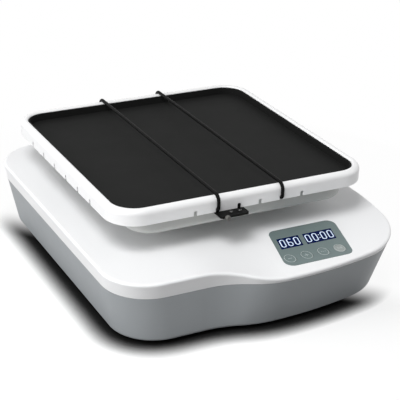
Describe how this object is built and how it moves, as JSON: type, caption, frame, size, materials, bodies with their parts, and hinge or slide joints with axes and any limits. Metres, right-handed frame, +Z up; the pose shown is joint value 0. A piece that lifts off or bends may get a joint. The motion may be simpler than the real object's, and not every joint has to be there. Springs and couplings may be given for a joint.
{
  "type": "rocking platform shaker",
  "caption": "Bench-top rocking shaker: rimmed tray with rubber mat and elastic straps, tilted by a motor, crank and slotted lever inside a two-part housing with keypad nose.",
  "frame": {"origin": "on the bench, under the middle of the base", "axes": "+X to the right, +Y to the rear, +Z up; the keypad nose is at the front right"},
  "size_m": [0.3672, 0.4365, 0.1401],
  "materials": {
    "white_plastic": "satin moulded",
    "grey_plastic": "fine moulded texture",
    "panel_grey": "satin film",
    "display_window": "polished",
    "key_grey": "satin film",
    "dark_plastic": "moulded",
    "board_green": "lacquered",
    "black_rubber": "matt",
    "black_elastic": "satin",
    "steel": "turned",
    "plated_steel": "zinc plated",
    "black_metal": "black coated",
    "aluminium": "cast and machined",
    "roller_nylon": "moulded",
    "gearbox_grey": "die cast",
    "motor_black": "satin",
    "pan_grey": "moulded",
    "brass": "plain",
    "fuse_glass": "clear"
  },
  "bodies": {
    "base": {"lower_housing": "grey_plastic", "upper_cover": "white_plastic", "control_panel": "panel_grey", "speed_window": "display_window", "timer_window": "display_window", "speed_readout": "dark_plastic", "timer_readout": "dark_plastic", "display_board": "board_green", "display_screws": "steel", "key_switches": "dark_plastic", "rubber_feet": "black_rubber", "foot_screws": "steel", "cover_screws": "steel", "chassis_plate": "plated_steel", "chassis_screws": "steel", "bearing_blocks": "aluminium", "shaft_bearings": "steel", "block_screws": "steel", "motor_bracket": "plated_steel", "bracket_screws": "steel", "gearbox": "gearbox_grey", "gearbox_screws": "steel", "drive_motor": "motor_black", "power_inlet": "dark_plastic", "inlet_blades": "brass", "inlet_screws": "steel", "switch_bezel": "dark_plastic", "control_board": "board_green", "control_board_screws": "steel", "power_transformer": "motor_black", "board_capacitors": "motor_black", "board_connectors": "dark_plastic"},
    "platform": {"rock_shaft": "steel", "yoke_lever": "aluminium", "rocker_arms": "aluminium", "arm_screws": "steel", "carrier_plate": "plated_steel", "under_pan": "pan_grey", "pan_screws": "steel", "platform_tray": "white_plastic", "tray_screws": "steel", "tray_nuts": "steel", "rubber_mat": "black_rubber", "strap_left": "black_elastic", "strap_right": "black_elastic", "strap_clamp": "black_metal", "clamp_screws": "steel", "clamp_thumbscrew": "black_metal"},
    "crank": {"output_shaft": "steel", "crank_disc": "steel", "crank_pin": "steel"},
    "roller": {"cam_roller": "roller_nylon"},
    "minus_button": {"minus_key": "key_grey"},
    "plus_button": {"plus_key": "key_grey"},
    "mode_button": {"mode_key": "key_grey"},
    "start_button": {"start_key": "key_grey"},
    "fuse_holder": {"fuse_drawer": "dark_plastic", "fuse": "fuse_glass"},
    "power_switch": {"power_rocker": "dark_plastic"}
  },
  "joints": [
    {"name": "tray_rock", "type": "hinge", "parent": "base", "child": "platform", "pos_m": [0, 0.027, 0.046], "axis": [0, 1, 0], "range_deg": [-7, 7]},
    {"name": "crank_turn", "type": "hinge", "parent": "base", "child": "crank", "pos_m": [0.07, 0.035, 0.046], "axis": [0, 1, 0], "range_deg": [-75.5, 75.5]},
    {"name": "roller_spin", "type": "hinge", "parent": "crank", "child": "roller", "pos_m": [0.07859, 0.027, 0.046], "axis": [0, 1, 0], "continuous": true},
    {"name": "minus_press", "type": "slide", "parent": "base", "child": "minus_button", "axis": [0, 0.1132, -0.9936], "range_m": [0, 0.0004], "stiffness_N_per_m": 800, "springref_m": -0.0004},
    {"name": "plus_press", "type": "slide", "parent": "base", "child": "plus_button", "axis": [0, 0.1132, -0.9936], "range_m": [0, 0.0004], "stiffness_N_per_m": 800, "springref_m": -0.0004},
    {"name": "mode_press", "type": "slide", "parent": "base", "child": "mode_button", "axis": [0, 0.1132, -0.9936], "range_m": [0, 0.0004], "stiffness_N_per_m": 800, "springref_m": -0.0004},
    {"name": "start_press", "type": "slide", "parent": "base", "child": "start_button", "axis": [0, 0.1132, -0.9936], "range_m": [0, 0.0004], "stiffness_N_per_m": 800, "springref_m": -0.0004},
    {"name": "fuse_drawer_pull", "type": "slide", "parent": "base", "child": "fuse_holder", "axis": [0, 1, 0], "range_m": [0, 0.018]},
    {"name": "power_switch_tip", "type": "hinge", "parent": "base", "child": "power_switch", "pos_m": [-0.026, 0.205, 0.032], "axis": [-1, 0, 0], "range_deg": [0, 16]}
  ],
  "couplings": [
    {"joint": "crank_turn", "follows": "tray_rock", "ratio": 10.714}
  ]
}
